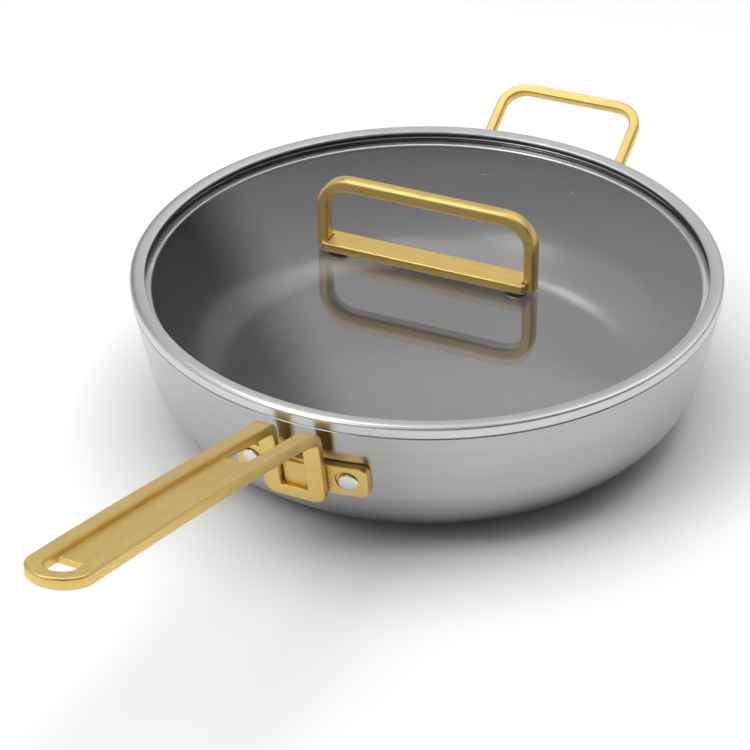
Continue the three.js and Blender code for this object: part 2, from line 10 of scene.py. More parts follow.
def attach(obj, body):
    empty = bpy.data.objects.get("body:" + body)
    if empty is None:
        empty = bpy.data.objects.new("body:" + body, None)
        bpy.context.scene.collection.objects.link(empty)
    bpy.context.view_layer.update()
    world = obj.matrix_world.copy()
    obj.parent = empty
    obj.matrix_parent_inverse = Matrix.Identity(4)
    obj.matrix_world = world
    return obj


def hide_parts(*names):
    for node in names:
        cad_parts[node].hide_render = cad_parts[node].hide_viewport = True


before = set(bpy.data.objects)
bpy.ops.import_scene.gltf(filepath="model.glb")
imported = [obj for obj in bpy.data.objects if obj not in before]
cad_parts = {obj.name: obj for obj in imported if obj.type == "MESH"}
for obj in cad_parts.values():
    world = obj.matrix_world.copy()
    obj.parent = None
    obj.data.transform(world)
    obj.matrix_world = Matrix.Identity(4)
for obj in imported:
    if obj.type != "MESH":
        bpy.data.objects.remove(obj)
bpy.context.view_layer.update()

MM = 0.001
QUARTER = math.pi / 2

# Sizes in millimetres: the solids' own, with finer edges and heads
JOINT_GAP = 0.3  # between bonded or riveted pieces
FIT_GAP = 0.2  # between the pieces of the lid

# Pan
RIM_RADIUS = 160
PAN_HEIGHT = 80
TAPER = math.radians(10.4)  # lean of the wall from upright
BASE_CORNER = 50  # outside, between base and wall
INSIDE_CORNER = 42
SHELL_FLOOR = 5.2
SHELL_WALL = 1.7
LINING = 0.8
RIM_EDGE = 0.6
RIM_EDGE_START = 0.4  # end of the straight wall to the rim's rounded edge
RIM_EDGE_INSET = 0.1  # of that edge, behind the line of the wall

# Rivets of both handles
RIVET_HEIGHT = 51.5  # above the base
RIVET_SHANK = 2.4
RIVET_HEAD = 5.4
RIVET_RIM = 0.8  # upright side of the outside head
RIVET_EDGE = 0.7
RIVET_EDGE_TURNS = (0.3, 1.3)  # where that edge's arc begins and ends
RIVET_CROWN = 0.7  # rise of the outside head above its edge
RIVET_INSIDE = 0.8  # height of the inside head
RIVET_SINK = 1.4  # depth of the recess round the outside head
RIVET_RECESS = RIVET_HEAD + 0.5  # radius of that recess

# Brackets on the wall
BRACKET_THICKNESS = 5
BRACKET_BOTTOM = 41.3
BRACKET_TOP = 60.5
BRACKET_CORNER = 4
BRACKET_EDGE = 0.7
HANDLE_EAR = 36.5  # middle of the long handle's bracket to its end
HANDLE_RIVET_SIDE = 26  # middle to each rivet
HELPER_EAR = 50
HELPER_RIVET_SIDE = 27
RECESS_FLOOR_INSET = 1.5  # edge of the bracket to the edge of the plate that closes its recesses
RECESS_FLOOR_EDGE = 0.2
RECESS_FLOOR_LIFT = 0.1  # back of that plate off the bracket's back
PAD_INSET = 0.6  # raised pad inside the window of the shield, at its sides and foot
PAD_TOP_INSET = 1.2
PAD_CORNER = 1.4
PAD_EDGE = 0.6
PAD_SINK = 0.6  # into the bracket
PAD_RISE = 2.1  # above it

# Long handle
HANDLE_TIP = RIM_RADIUS + 229
HANDLE_TIP_HEIGHT = 148.4
HANDLE_HALF = 15.4  # half width over the rails
SHIELD_HALF = 16.8  # half width over the legs
SHIELD_BLEND_START = RIM_RADIUS + 12  # where the shield begins to narrow
SHIELD_BLEND_END = RIM_RADIUS + 30  # where it is as narrow as the rails
SHIELD_CORNER = 7
GAP_HALF = 7.4  # half width between the rails
GAP_END = RIM_RADIUS + 61.6  # outer end of the open gap
GAP_CORNER = 2
SLOT_START = HANDLE_TIP - 24  # straight side of the hanging slot
FOOT_BAR_TOP = 43.5
WINDOW_CORNER = 1.6
RAIL_DEPTH = 6.4
RAIL_RISE = math.radians(17.6)  # slope of the rails where they leave the bend
RAIL_STRAIGHT = 16  # before the rails begin to bow
RAIL_EDGE = 1.2
WEB_RECESS = 2.8  # upper face of the rails to the sunk panel
WEB_OVERLAP = 2  # of the panel into each rail
WEB_LIFT = 0.01  # underside of the panel off the rails' underside
WEB_EDGE = 0.4
BEND_HEIGHT = 83.2  # where the rails' upper face meets the backs of the legs
BEND_OUTSIDE = 10
BEND_INSIDE = 4
LEG_BACK = JOINT_GAP + BRACKET_THICKNESS + JOINT_GAP
LEG_FRONT = LEG_BACK + 5
LEG_BOTTOM = 37

# Helper handle
HELPER_HALF = 45.6
HELPER_BAR = 6  # width of the bar
HELPER_DEPTH = 6  # thickness of the bar
HELPER_CORNER = 17.5
HELPER_EDGE = 1.3
HELPER_ROOT = 17  # knee to the end of the bar at the wall
HELPER_ROOT_TOP = 53
HELPER_KNEE = RIM_RADIUS + 10
HELPER_KNEE_RADIUS = 24
HELPER_TILT = math.radians(28.5)
HELPER_REACH = 65.3  # knee to the outer edge of the loop, along the slope
HELPER_BEND = HELPER_KNEE_RADIUS * math.tan(HELPER_TILT / 2)  # knee to each end of its bend

# Lid: rim ring
RING_BOTTOM = PAN_HEIGHT + JOINT_GAP
RING_TOP = RING_BOTTOM + 6.2
RING_FOOT_EDGE = 0.5
RING_FOOT_FLAT = 0.1  # flat strip beside that edge
RING_SIDE_TOP = RING_TOP - 2.0
CROWN_WIDTH = 2.0
CROWN_HEIGHT = 1.6
CROWN_TURNS = (0.2, 0.4, 0.6, 0.8, 1.0, 1.2, 1.4)
LIP_START = RIM_RADIUS - CROWN_WIDTH - 0.2
LIP_STEP = 0.9
LIP_FALLS = (0.0, 0.03, 0.08, 0.15, 0.23, 0.32)  # of the lip below the ring's top, a step inwards each
LIP_TOP = RING_TOP - 0.4  # at its inner edge
LIP_UNDER = LIP_TOP - 1.2
LIP_INNER = RIM_RADIUS - 8
LIP_EDGE = 0.6
LIP_UNDERCUT = 0.2
SKIRT_OUTER = 155.9  # with a little play inside the lining
SKIRT_CHAMFER = 0.8
CHANNEL_WALL = SKIRT_OUTER - 0.8

# Lid: glass, seal and the shelf under them
GLASS_TOP = RING_TOP - 4.2
GLASS_BOTTOM = GLASS_TOP - 4.4
GLASS_EDGE = 0.4
GLASS_HOLE = 3.0
SEAL_OUTER = CHANNEL_WALL - FIT_GAP
SEAL_WALL = 0.7  # of the seal outside and under the glass
SEAL_UPPER_INNER = SEAL_OUTER - 2.6
SEAL_LOWER_INNER = SEAL_OUTER - 2
SEAL_EDGE = 0.2
SEAL_TOE_EDGE = 0.25
SEAL_LIP_EDGE = 0.5
GLASS_RADIUS = SEAL_OUTER - SEAL_WALL - FIT_GAP
SEAL_BOTTOM = GLASS_BOTTOM - FIT_GAP - SEAL_WALL
SHELF_TOP = SEAL_BOTTOM - FIT_GAP
SHELF_BOTTOM = SHELF_TOP - 1.9
SHELF_INNER = CHANNEL_WALL - 6.6

# Lid: arch, foot plate and the screws that hold them
ARCH_HALF = 63.6
ARCH_TOP = RING_TOP + 41
ARCH_BAR = 7.2
ARCH_LEG = 6.4
ARCH_DEPTH = 8
ARCH_CORNER = 19
ARCH_EDGE = 1.6
ARCH_INNER_HALF = ARCH_HALF - ARCH_LEG
SPACER_BOTTOM = GLASS_TOP + FIT_GAP
SPACER_TOP = SPACER_BOTTOM + 1
SPACER_RADIUS = 6.75
PLATE_BOTTOM = SPACER_TOP + FIT_GAP
PLATE_TOP = PLATE_BOTTOM + 5
PLATE_HALF = ARCH_HALF - 3.6
PLATE_DEPTH = 15.6
PLATE_CORNER = 2.5
PLATE_EDGE = 0.6
NOTCH_CORNER = 0.8
WASHER_TOP = GLASS_BOTTOM - FIT_GAP
WASHER_BOTTOM = WASHER_TOP - 1.2
WASHER_RADIUS = 6.5
WASHER_HOLE_EDGE = 0.2
DISC_EDGE = 0.3  # outer edge of the spacers and washers
SCREW_SIDE = ARCH_INNER_HALF - 4.7  # axis of the lid to each screw
SCREW_SHANK = 2
SCREW_HOLE = SCREW_SHANK + 0.3
SCREW_HEAD = 4.2
SCREW_HEAD_TOP = WASHER_BOTTOM - FIT_GAP
SCREW_HEAD_HEIGHT = 2.55
SCREW_END = PLATE_TOP - 0.6
SCREW_DRIVE = ((0, 1.3), (1.6, 1.3), (1.8, 2.4), (2.2, 2.58))  # radius, and depth below the top of the head

# Mesh fineness
ROUND = 288  # points round the pan and the lid
SMALL_ROUND = 64  # points round a rivet, screw, spacer or washer
EDGE_STEPS = 4  # per rounded edge of a plate
SUPPORT = 0.12  # flat strip beside a rounded edge
FLOOR_RINGS = 6  # of faces in the flat of the base and of the floor
RAIL_STEPS = 60
BEND_STEPS = 14
LEG_STEPS = 16
BLEND_STEPS = 12
RIVET_INSIDE_TURNS = (0.3, 0.6, 0.9, 1.2, 1.4, 1.57)
RIVET_CROWN_SHARES = (0.75, 0.6, 0.45, 0.3, 0.15)
SCREW_HEAD_TURNS = (0.7, 0.9, 1.1, 1.3, 1.45, 1.57)
GRID_MARGIN = 0.3  # edge of a cap to its grid points, as a share of the pitch
MITRE_LIMIT = 0.5  # keeps the corners of an inset outline from running away
FILL_INSIDE = 1  # the triangulation's choice of faces inside the outlines only
SAME_SPOT = 1e-6  # in millimetres
WELD_DISTANCE = 1e-7  # in metres
SHARP_ANGLE = math.radians(40)


# Outlines

def arc(cx, cy, radius, start, end, steps):
    """Points on an arc, both ends included."""
    turn = [start + (end - start) * i / steps for i in range(steps + 1)]
    return [(cx + radius * math.cos(a), cy + radius * math.sin(a)) for a in turn]


def short_sweep(first, last):
    """The angle of one direction and the shorter turn from it to another."""
    start = math.atan2(first.y, first.x)
    sweep = math.atan2(last.y, last.x) - start
    return start, (sweep + math.pi) % (2 * math.pi) - math.pi


def fillet(corner, before, after, radius, steps):
    """Points on the arc that rounds a corner between two unit directions that leave it."""
    half = math.acos(max(-1, min(1, before.dot(after)))) / 2
    run = radius / math.tan(half)
    centre = corner + (before + after).normalized() * (radius / math.sin(half))
    start, sweep = short_sweep(corner + before * run - centre, corner + after * run - centre)
    return arc(centre.x, centre.y, radius, start, start + sweep, steps)


def rounded(corners, steps=10):
    """Closed outline through (x, y, radius) corners."""
    points = []
    count = len(corners)
    for i, (x, y, radius) in enumerate(corners):
        if radius <= 0:
            points.append((x, y))
            continue
        here = Vector((x, y))
        before = (Vector(corners[i - 1][:2]) - here).normalized()
        after = (Vector(corners[(i + 1) % count][:2]) - here).normalized()
        points += fillet(here, before, after, radius, steps)
    return points


def rounded_box(half, low, high, radius, steps=10):
    """Rectangle about the middle line, with four rounded corners."""
    corners = [(-half, low, radius), (half, low, radius), (half, high, radius), (-half, high, radius)]
    return rounded(corners, steps)


def circle(cx, cy, radius, steps):
    return arc(cx, cy, radius, 0, 2 * math.pi, steps)[:-1]


def spread(points, longest):
    """The same closed outline with no side longer than the given length."""
    out = []
    for (x0, y0), (x1, y1) in zip(points, points[1:] + points[:1]):
        parts = max(1, math.ceil(math.hypot(x1 - x0, y1 - y0) / longest))
        out += [(x0 + (x1 - x0) * k / parts, y0 + (y1 - y0) * k / parts) for k in range(parts)]
    return out


def area_of(points):
    pairs = zip(points, points[1:] + points[:1])
    return sum(x0 * y1 - x1 * y0 for (x0, y0), (x1, y1) in pairs) / 2


def turned_left(points):
    return points if area_of(points) > 0 else points[::-1]


def inset(points, margin):
    """The outline moved to its left."""
    if margin == 0:
        return list(points)
    out = []
    count = len(points)
    for i in range(count):
        here = Vector(points[i])
        one = (here - Vector(points[i - 1])).normalized()
        two = (Vector(points[(i + 1) % count]) - here).normalized()
        left = Vector((-one.y, one.x)) + Vector((-two.y, two.x))
        left *= 2 / max(left.length_squared, MITRE_LIMIT)
        out.append(tuple(here + left * margin))
    return out


def inside(point, points):
    x, y = point
    hit = False
    for (x0, y0), (x1, y1) in zip(points, points[1:] + points[:1]):
        if (y0 > y) != (y1 > y) and x < x0 + (y - y0) * (x1 - x0) / (y1 - y0):
            hit = not hit
    return hit


# Meshes: corner points in millimetres, faces, and the material number of each face

class Form:
    def __init__(self):
        self.points = []
        self.faces = []
        self.finish = []

    def ring(self, points):
        """Adds points and gives their numbers."""
        start = len(self.points)
        self.points += points
        return list(range(start, len(self.points)))

    def face(self, corners, finish=0):
        if len(set(corners)) > 2:
            self.faces.append(corners)
            self.finish.append(finish)

    def strip(self, one, two):
        """Faces between two closed rings of as many points."""
        for i in range(len(one)):
            k = (i + 1) % len(one)
            self.face([one[i], one[k], two[k], two[i]])


def turned(section, segments=ROUND, closed=True, finish_of=None):
    """A body of revolution about Z from a section of radius and height."""
    form = Form()
    turns = [2 * math.pi * i / segments for i in range(segments)]
    rings = []
    for radius, height in section:
        if radius == 0:
            rings.append(form.ring([(0, 0, height)]) * segments)
        else:
            rings.append(form.ring([(radius * math.cos(a), radius * math.sin(a), height) for a in turns]))
    last = len(rings) if closed else len(rings) - 1
    for i in range(last):
        after = (i + 1) % len(rings)
        finish = finish_of(section[i], section[after]) if finish_of else 0
        one, two = rings[i], rings[after]
        for k in range(segments):
            n = (k + 1) % segments
            corners = [one[k], one[n], two[n], two[k]]
            form.face([c for j, c in enumerate(corners) if c not in corners[:j]], finish)
    return form


def grid_points(lines, pitch):
    """Points inside a cap's outline, clear of its edges and of its holes."""
    outer, *holes = [inset(line, pitch * GRID_MARGIN) for line in lines]
    xs = [p[0] for p in outer]
    ys = [p[1] for p in outer]
    found = []
    for i in range(math.ceil((max(xs) - min(xs)) / pitch)):
        for k in range(math.ceil((max(ys) - min(ys)) / pitch)):
            p = (min(xs) + (i + 0.5) * pitch, min(ys) + (k + 0.5) * pitch)
            if inside(p, outer) and not any(inside(p, hole) for hole in holes):
                found.append(p)
    return found


def add_cap(form, lines, rings, height, place, grid):
    """Fills the outlines at one end of a slab, with extra points on a grid where the slab is bent."""
    spots = [p for line in lines for p in line]
    index = [i for ring in rings for i in ring]
    sides = []
    start = 0
    for line in lines:
        size = len(line)
        sides += [(start + i, start + (i + 1) % size) for i in range(size)]
        start += size
    if grid:
        for x, y in grid_points(lines, grid):
            spots.append((x, y))
            index += form.ring([place(x, y, height)])
    filled = delaunay_2d_cdt([Vector(p) for p in spots], sides, [], FILL_INSIDE, SAME_SPOT)
    corners, _, faces, sources, *_ = filled
    for face in faces:
        middle = tuple(sum((corners[i] for i in face), Vector((0, 0))) / len(face))
        if not any(inside(middle, hole) for hole in lines[1:]):
            form.face([index[sources[i][0]] for i in face])


def slab(outer, holes, low, high, edge, place, grid=0):
    """A plate with rounded edges between two heights, laid on any surface by place.

    Corner radii of its outlines are larger than edge and SUPPORT together, or zero.
    """
    form = Form()
    loops = [turned_left(outer)] + [turned_left(hole)[::-1] for hole in holes]
    levels = [(edge + SUPPORT, low)]
    for k in range(EDGE_STEPS + 1):
        turn = QUARTER * k / EDGE_STEPS
        levels.append((edge * (1 - math.sin(turn)), low + edge * (1 - math.cos(turn))))
    levels += [(margin, low + high - height) for margin, height in reversed(levels)]
    first, last = [], []
    for loop in loops:
        rings = []
        for margin, height in levels:
            rings.append(form.ring([place(a, b, height) for a, b in inset(loop, margin)]))
        for one, two in zip(rings, rings[1:]):
            form.strip(one, two)
        first.append(rings[0])
        last.append(rings[-1])
    lines = [inset(loop, edge + SUPPORT) for loop in loops]
    add_cap(form, lines, first, low, place, grid)
    add_cap(form, lines, last, high, place, grid)
    return form


def joined(*forms):
    out = Form()
    for form in forms:
        start = len(out.points)
        out.points += form.points
        out.faces += [[i + start for i in face] for face in form.faces]
        out.finish += form.finish
    return out


def face_outwards(mesh):
    shape = bmesh.new()
    shape.from_mesh(mesh)
    bmesh.ops.remove_doubles(shape, verts=shape.verts, dist=WELD_DISTANCE)
    bmesh.ops.recalc_face_normals(shape, faces=shape.faces)
    shape.to_mesh(mesh)
    shape.free()


def build(name, form, body, materials, nodes, seat=None):
    """Makes a piece that rides on a body and stands for CAD nodes."""
    mesh = bpy.data.meshes.new(name)
    spots = [Vector(p) for p in form.points]
    if seat is not None:
        spots = [seat @ p for p in spots]
    mesh.from_pydata([p * MM for p in spots], [], form.faces)
    for material in materials:
        mesh.materials.append(material)
    mesh.polygons.foreach_set("material_index", form.finish)
    mesh.polygons.foreach_set("use_smooth", [True] * len(mesh.polygons))
    face_outwards(mesh)
    mesh.set_sharp_from_angle(angle=SHARP_ANGLE)
    piece = bpy.data.objects.new(name, mesh)
    bpy.context.scene.collection.objects.link(piece)
    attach(piece, body)
    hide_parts(*nodes)


# Materials

NOISE_RANGE = (0.3, 0.7)  # where most of a noise texture lies


def math_node(tree, operation, *values):
    """A sum on numbers and on other nodes' outputs."""
    node = tree.nodes.new("ShaderNodeMath")
    node.operation = operation
    for socket, value in zip(node.inputs, values):
        if isinstance(value, (int, float)):
            socket.default_value = value
        else:
            tree.links.new(value, socket)
    return node.outputs[0]


def range_node(tree, source, limits, low, high, kind="LINEAR"):
    """Maps a value between two limits to one between low and high."""
    node = tree.nodes.new("ShaderNodeMapRange")
    node.interpolation_type = kind
    for key, value in zip(("From Min", "From Max", "To Min", "To Max"), (*limits, low, high)):
        node.inputs[key].default_value = value
    tree.links.new(source, node.inputs["Value"])
    return node.outputs["Result"]


class Nodes:
    """A material's node tree with a Principled shader."""

    def __init__(self, name):
        self.material = bpy.data.materials.new(name)
        self.material.use_nodes = True
        self.tree = self.material.node_tree
        self.shader = self.tree.nodes["Principled BSDF"]
        self.out = self.tree.nodes["Material Output"]

    def add(self, kind, **values):
        node = self.tree.nodes.new(kind)
        for key, value in values.items():
            setattr(node, key, value)
        return node

    def link(self, source, target):
        self.tree.links.new(source, target)

    def set(self, **values):
        for key, value in values.items():
            self.shader.inputs[key.replace("_", " ")].default_value = value

    def drive(self, key, source):
        self.link(source, self.shader.inputs[key])

    def math(self, operation, *values):
        return math_node(self.tree, operation, *values)

    def blend(self, one, two, share):
        """A share of one value and the rest of another."""
        return self.math("ADD", self.math("MULTIPLY", one, share), self.math("MULTIPLY", two, 1 - share))

    def place(self):
        return self.add("ShaderNodeTexCoord").outputs["Object"]

    def noise(self, vector, scale, detail=4, rough=0.55):
        node = self.add("ShaderNodeTexNoise")
        node.inputs["Scale"].default_value = scale
        node.inputs["Detail"].default_value = detail
        node.inputs["Roughness"].default_value = rough
        self.link(vector, node.inputs["Vector"])
        return node.outputs["Fac"]

    def span(self, source, low, high):
        return range_node(self.tree, source, NOISE_RANGE, low, high)

    def ramp(self, source, *colours):
        node = self.add("ShaderNodeValToRGB")
        for stop, position, colour in zip(node.color_ramp.elements, NOISE_RANGE, colours):
            stop.position = position
            stop.color = (*colour, 1)
        self.link(source, node.inputs["Fac"])
        return node.outputs["Color"]

    def bump(self, source, strength, depth):
        node = self.add("ShaderNodeBump")
        node.inputs["Strength"].default_value = strength
        node.inputs["Distance"].default_value = depth
        self.link(source, node.inputs["Height"])
        self.drive("Normal", node.outputs["Normal"])

    def round_the_axis(self, along, across):
        """Coordinates that run round Z, stretched along the turn: streaks of turning and brushing."""
        split = self.add("ShaderNodeSeparateXYZ")
        self.link(self.place(), split.inputs[0])
        x, y, z = split.outputs
        turn = self.math("ARCTAN2", y, x)
        squares = self.math("ADD", self.math("MULTIPLY", x, x), self.math("MULTIPLY", y, y))
        radius = self.math("SQRT", squares)
        join = self.add("ShaderNodeCombineXYZ")
        self.link(self.math("MULTIPLY", self.math("ABSOLUTE", turn), along), join.inputs[0])
        self.link(self.math("MULTIPLY", radius, across), join.inputs[1])
        self.link(self.math("MULTIPLY", z, across), join.inputs[2])
        return join.outputs[0]


def steel(name, light, dark, smooth, rough, stretch):
    """Steel brushed round the axis: fine streaks in colour, roughness and bump."""
    n = Nodes(name)
    n.set(Metallic=1.0, Anisotropic=stretch, Anisotropic_Rotation=0.25)
    n.drive("Tangent", n.add("ShaderNodeTangent", direction_type="RADIAL", axis="Z").outputs[0])
    streaks = n.noise(n.round_the_axis(along=1.6, across=2600), scale=1.0, detail=3)
    broad = n.noise(n.round_the_axis(along=1.1, across=220), scale=1.0, detail=2)
    n.drive("Base Color", n.ramp(streaks, dark, light))
    n.drive("Roughness", n.span(n.blend(streaks, broad, 0.6), smooth, rough))
    n.bump(streaks, strength=0.12, depth=0.00004)
    return n.material


def gold(name, brushing):
    """Satin gold: a fine grain, brushed along the length of the piece, with slow changes of sheen."""
    n = Nodes(name)
    n.set(Metallic=1.0)
    place = n.place()
    stretch = n.add("ShaderNodeMapping")
    stretch.inputs["Scale"].default_value = brushing
    n.link(place, stretch.inputs["Vector"])
    streaks = n.noise(stretch.outputs[0], scale=1.0, rough=0.65)
    grain = n.noise(place, scale=2600, detail=3)
    cloud = n.noise(place, scale=45, detail=3)
    slow = n.blend(streaks, cloud, 0.6)
    fine = n.blend(streaks, grain, 0.6)
    n.drive("Base Color", n.ramp(slow, (0.7, 0.485, 0.155), (0.82, 0.6, 0.215)))
    n.drive("Roughness", n.span(fine, 0.33, 0.47))
    n.bump(fine, strength=0.12, depth=0.00004)
    return n.material


def coating(name):
    """Grey ceramic coating with a fine speckle."""
    n = Nodes(name)
    n.set(Specular_IOR_Level=0.7)
    place = n.place()
    speckle = n.noise(place, scale=1500, rough=0.7)
    cloud = n.noise(place, scale=18, detail=3)
    n.drive("Base Color", n.ramp(speckle, (0.07, 0.071, 0.071), (0.092, 0.093, 0.093)))
    n.drive("Roughness", n.span(cloud, 0.19, 0.25))
    n.bump(speckle, strength=0.06, depth=0.00005)
    return n.material


def rubber(name):
    """Dull black rubber with a fine grain."""
    n = Nodes(name)
    grain = n.noise(n.place(), scale=900)
    n.drive("Base Color", n.ramp(grain, (0.006, 0.006, 0.007), (0.012, 0.012, 0.013)))
    n.drive("Roughness", n.span(grain, 0.42, 0.6))
    n.bump(grain, strength=0.1, depth=0.00005)
    return n.material


def clear_glass(name):
    """Clear tempered glass that lets lamp light and diffuse light straight through to the pan."""
    n = Nodes(name)
    n.set(Transmission_Weight=1.0, IOR=1.5)
    faint = n.noise(n.place(), scale=6, detail=2)
    n.drive("Base Color", n.ramp(faint, (0.96, 0.964, 0.961), (0.97, 0.974, 0.971)))
    n.drive("Roughness", n.span(faint, 0.0, 0.004))
    path = n.add("ShaderNodeLightPath")
    straight = n.math("MAXIMUM", path.outputs["Is Shadow Ray"], path.outputs["Is Diffuse Ray"])
    through = n.add("ShaderNodeBsdfTransparent")
    through.inputs["Color"].default_value = (0.92, 0.925, 0.922, 1)
    mix = n.add("ShaderNodeMixShader")
    n.link(straight, mix.inputs["Fac"])
    n.link(n.shader.outputs[0], mix.inputs[1])
    n.link(through.outputs[0], mix.inputs[2])
    n.link(mix.outputs[0], n.out.inputs["Surface"])
    return n.material


WALL_STEEL = steel("brushed_wall_steel", light=(0.5, 0.5, 0.5), dark=(0.42, 0.42, 0.42),
                   smooth=0.18, rough=0.24, stretch=0.7)
RIM_STEEL = steel("brushed_rim_steel", light=(0.66, 0.66, 0.655), dark=(0.58, 0.58, 0.575),
                  smooth=0.3, rough=0.4, stretch=0.3)
BRIGHT_STEEL = steel("turned_steel", light=(0.74, 0.74, 0.735), dark=(0.66, 0.66, 0.655),
                     smooth=0.2, rough=0.3, stretch=0.2)
BRUSHED_ALONG = 12  # scale of the gold's streaks along the brushing
BRUSHED_ACROSS = 480
HANDLE_GOLD = gold("satin_gold_handle", (BRUSHED_ALONG, BRUSHED_ACROSS, BRUSHED_ACROSS))
CROSS_GOLD = gold("satin_gold_cross", (BRUSHED_ACROSS, BRUSHED_ALONG, BRUSHED_ACROSS))
GREY = coating("grey_ceramic")
GLASS = clear_glass("clear_glass")
RUBBER = rubber("black_rubber")


# Pan shell and lining

def wall_radius(height, out=0.0):
    """Radius at a height on the line of the outside wall, or at a distance out from it."""
    return RIM_RADIUS - math.tan(TAPER) * (PAN_HEIGHT - height) + out / math.cos(TAPER)


WALL_TOTAL = SHELL_WALL + JOINT_GAP + LINING
FLOOR_TOP = SHELL_FLOOR + JOINT_GAP + LINING
INSIDE_CENTRE = FLOOR_TOP + INSIDE_CORNER
BASE_RADIUS = wall_radius(BASE_CORNER * (1 - math.sin(TAPER))) - BASE_CORNER * math.cos(TAPER)
FLOOR_RADIUS = (wall_radius(INSIDE_CENTRE - INSIDE_CORNER * math.sin(TAPER), -WALL_TOTAL)
                - INSIDE_CORNER * math.cos(TAPER))


def inside_line(behind):
    """The inside of the pan from the axis to the rim, at a distance behind the lining's face."""
    radius = INSIDE_CORNER + behind
    points = [(FLOOR_RADIUS * k / FLOOR_RINGS, INSIDE_CENTRE - radius) for k in range(FLOOR_RINGS)]
    points += arc(FLOOR_RADIUS, INSIDE_CENTRE, radius, -QUARTER, -TAPER, steps=24)
    return points + [(wall_radius(PAN_HEIGHT, behind - WALL_TOTAL), PAN_HEIGHT)]


def outside_line():
    """The outside of the pan from the axis to the rounded edge of the rim."""
    wall_end = PAN_HEIGHT - RIM_EDGE - RIM_EDGE_START
    edge_centre = wall_radius(PAN_HEIGHT) - RIM_EDGE - RIM_EDGE_INSET
    points = [(BASE_RADIUS * k / FLOOR_RINGS, 0) for k in range(FLOOR_RINGS)]
    points += arc(BASE_RADIUS, BASE_CORNER, BASE_CORNER, -QUARTER, -TAPER, steps=32)
    points += [(wall_radius(wall_end), wall_end)]
    return points + arc(edge_centre, PAN_HEIGHT - RIM_EDGE, RIM_EDGE, 0, QUARTER, steps=5)


shell = turned(outside_line() + inside_line(LINING + JOINT_GAP)[::-1], closed=False)
build("shell", shell, "pan", [WALL_STEEL], ["pan_body"])
coat = turned(inside_line(LINING) + inside_line(0)[::-1], closed=False)
build("coating", coat, "pan", [GREY], ["pan_lining"])


# Rivets and brackets

def domed(radius, base, height, turns):
    """Points of a dome that hangs below a base, at turns from the axis to its edge."""
    return [(radius * math.sin(a), base - height * math.cos(a)) for a in turns]


def rivet_seat(side, turn):
    """Where a rivet lies: its axis at right angles to the wall, at a distance from the handle's middle."""
    radius = wall_radius(RIVET_HEIGHT)
    seat = Matrix.Rotation(turn + math.asin(side / radius), 4, "Z")
    seat = seat @ Matrix.Translation((radius, 0, RIVET_HEIGHT))
    return seat @ Matrix.Rotation(QUARTER + TAPER, 4, "Y")


def rivet():
    """Rivet along Z, outwards from the wall: its inside head has the second material, the lining's grey."""
    inner = -WALL_TOTAL - JOINT_GAP
    outer = JOINT_GAP + BRACKET_THICKNESS - RIVET_SINK + JOINT_GAP
    side_top = outer + RIVET_RIM
    crown = side_top + RIVET_EDGE
    section = [(0, inner - RIVET_INSIDE)]
    section += domed(RIVET_HEAD, inner, RIVET_INSIDE, RIVET_INSIDE_TURNS)
    section += [(RIVET_SHANK, inner), (RIVET_SHANK, outer), (RIVET_HEAD, outer), (RIVET_HEAD, side_top)]
    section += arc(RIVET_HEAD - RIVET_EDGE, side_top, RIVET_EDGE, *RIVET_EDGE_TURNS, steps=4)
    section += [(RIVET_HEAD * k, crown + RIVET_CROWN * (1 - k * k)) for k in RIVET_CROWN_SHARES]
    section += [(0, crown + RIVET_CROWN)]

    def finish(one, two):
        return 1 if max(one[1], two[1]) <= inner else 0
    return turned(section, SMALL_ROUND, closed=False, finish_of=finish)


def on_wall(side):
    """Lays a plate on the wall, on the long handle's side (1) or the helper's (-1)."""
    def place(y, z, out):
        radius = wall_radius(z, out)
        return (side * math.sqrt(radius * radius - y * y), y, z)
    return place


def bracket(ear, rivet_side, side):
    """Curved strip with a recess round each rivet: a pierced plate over a smaller closed one."""
    place = on_wall(side)
    top = JOINT_GAP + BRACKET_THICKNESS
    strip = spread(rounded_box(ear, BRACKET_BOTTOM, BRACKET_TOP, BRACKET_CORNER), longest=3)
    holes = [circle(y, RIVET_HEIGHT, RIVET_RECESS, steps=40) for y in (-rivet_side, rivet_side)]
    front = slab(strip, holes, JOINT_GAP, top, BRACKET_EDGE, place, grid=4)
    closed = inset(turned_left(strip), RECESS_FLOOR_INSET)
    low = JOINT_GAP + RECESS_FLOOR_LIFT
    return joined(front, slab(closed, [], low, top - RIVET_SINK, RECESS_FLOOR_EDGE, place, grid=4))


def pad():
    """Raised pad of the long handle's bracket, in the window of the shield."""
    top = JOINT_GAP + BRACKET_THICKNESS
    low, high = FOOT_BAR_TOP + PAD_INSET, BRACKET_TOP - PAD_TOP_INSET
    line = spread(rounded_box(GAP_HALF - PAD_INSET, low, high, PAD_CORNER, steps=5), longest=3)
    return slab(line, [], top - PAD_SINK, top + PAD_RISE, PAD_EDGE, on_wall(1), grid=3)


handle_strip = joined(bracket(HANDLE_EAR, HANDLE_RIVET_SIDE, 1), pad())
build("handle_strip", handle_strip, "pan", [CROSS_GOLD], ["handle_bracket"])
helper_strip = bracket(HELPER_EAR, HELPER_RIVET_SIDE, -1)
build("helper_strip", helper_strip, "pan", [CROSS_GOLD], ["helper_bracket"])
for owner, offset, turn in (("handle", HANDLE_RIVET_SIDE, 0), ("helper", HELPER_RIVET_SIDE, math.pi)):
    for end, side in (("left", -1), ("right", 1)):
        build(f"{owner}_rivet_{end}_fine", rivet(), "pan", [BRIGHT_STEEL, GREY],
              [f"{owner}_rivet_{end}"], rivet_seat(side * offset, turn))


# Long handle: a flat frame with its panel, bent along the side line

